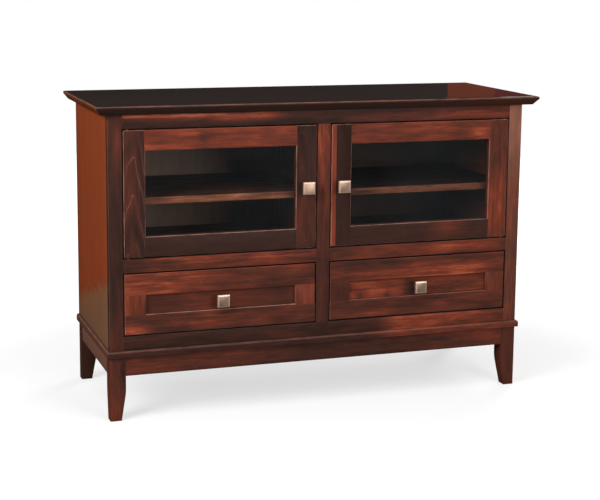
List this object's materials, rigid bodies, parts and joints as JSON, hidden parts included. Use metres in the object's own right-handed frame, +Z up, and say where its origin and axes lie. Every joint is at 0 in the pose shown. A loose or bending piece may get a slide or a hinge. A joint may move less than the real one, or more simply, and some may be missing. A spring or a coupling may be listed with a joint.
{
  "type": "media console cabinet",
  "caption": "Media console on tapered legs: glazed cupboards with a shelf each above drawers, an overhanging top with a bevelled underside, and square knobs.",
  "frame": {"origin": "floor level, under the middle of the top's outline", "axes": "+X towards the right-hand door as seen from the front, +Y to the back, +Z up"},
  "size_m": [1.238, 0.47, 0.828],
  "materials": {
    "stained_wood": "dark red-brown stain under satin lacquer",
    "top_wood": "dark brown stain under gloss lacquer",
    "side_wood": "red-brown stain under satin lacquer",
    "inside_wood": "dark stain, matt",
    "shelf_wood": "mid brown stain under satin lacquer",
    "back_ply": "dark stained plywood, matt",
    "box_wood": "clear lacquered pale hardwood",
    "clear_glass": "clear, polished",
    "satin_nickel": "satin nickel",
    "hinge_brass": "plain brass",
    "plated_steel": "zinc plated",
    "catch_plastic": "moulded, matt brown"
  },
  "bodies": {
    "case": {"top_panel": "top_wood", "side_panel_left": "side_wood", "side_panel_right": "side_wood", "centre_partition": "inside_wood", "case_bottom": "inside_wood", "cupboard_floors": "inside_wood", "back_panels": "back_ply", "top_cleats": "inside_wood", "frame_stiles_outer": "stained_wood", "frame_stile_centre": "stained_wood", "frame_rail_top": "stained_wood", "frame_rails_middle": "stained_wood", "frame_rail_bottom": "stained_wood", "shelves": "shelf_wood", "shelf_supports": "plated_steel", "leg_front_left": "stained_wood", "leg_front_right": "stained_wood", "leg_back_left": "stained_wood", "leg_back_right": "stained_wood", "apron_front": "stained_wood", "apron_back": "stained_wood", "aprons_side": "stained_wood", "base_moulding": "stained_wood", "corner_blocks": "inside_wood", "hinge_case_leaves": "hinge_brass", "door_catches": "catch_plastic", "slide_spacers": "inside_wood", "slide_cabinet_members": "plated_steel"},
    "left_door": {"door_left_stiles": "stained_wood", "door_left_rails": "stained_wood", "door_left_glass": "clear_glass", "door_left_beads": "stained_wood", "door_left_hinge_leaves": "hinge_brass", "door_left_strike": "plated_steel", "door_left_knob": "satin_nickel"},
    "left_drawer": {"drawer_left_front_rails": "stained_wood", "drawer_left_front_stiles": "stained_wood", "drawer_left_front_panel": "stained_wood", "drawer_left_box_sides": "box_wood", "drawer_left_box_ends": "box_wood", "drawer_left_box_bottom": "box_wood", "drawer_left_slide_members": "plated_steel", "drawer_left_knob": "satin_nickel"},
    "left_slide_intermediates": {"slide_left_intermediates": "plated_steel"},
    "right_door": {"door_right_stiles": "stained_wood", "door_right_rails": "stained_wood", "door_right_glass": "clear_glass", "door_right_beads": "stained_wood", "door_right_hinge_leaves": "hinge_brass", "door_right_strike": "plated_steel", "door_right_knob": "satin_nickel"},
    "right_drawer": {"drawer_right_front_rails": "stained_wood", "drawer_right_front_stiles": "stained_wood", "drawer_right_front_panel": "stained_wood", "drawer_right_box_sides": "box_wood", "drawer_right_box_ends": "box_wood", "drawer_right_box_bottom": "box_wood", "drawer_right_slide_members": "plated_steel", "drawer_right_knob": "satin_nickel"},
    "right_slide_intermediates": {"slide_right_intermediates": "plated_steel"}
  },
  "joints": [
    {"name": "left_door_swing", "type": "hinge", "parent": "case", "child": "left_door", "pos_m": [-0.5315, -0.194, 0.598], "axis": [0, 0, -1], "range_deg": [0, 110]},
    {"name": "right_door_swing", "type": "hinge", "parent": "case", "child": "right_door", "pos_m": [0.5315, -0.194, 0.598], "axis": [0, 0, 1], "range_deg": [0, 110]},
    {"name": "left_drawer_slide", "type": "slide", "parent": "case", "child": "left_drawer", "axis": [0, -1, 0], "range_m": [0, 0.344]},
    {"name": "left_slide_travel", "type": "slide", "parent": "case", "child": "left_slide_intermediates", "axis": [0, -1, 0], "range_m": [0, 0.172]},
    {"name": "right_drawer_slide", "type": "slide", "parent": "case", "child": "right_drawer", "axis": [0, -1, 0], "range_m": [0, 0.344]},
    {"name": "right_slide_travel", "type": "slide", "parent": "case", "child": "right_slide_intermediates", "axis": [0, -1, 0], "range_m": [0, 0.172]}
  ],
  "couplings": [
    {"joint": "left_slide_travel", "follows": "left_drawer_slide", "ratio": 0.5},
    {"joint": "right_slide_travel", "follows": "right_drawer_slide", "ratio": 0.5}
  ]
}
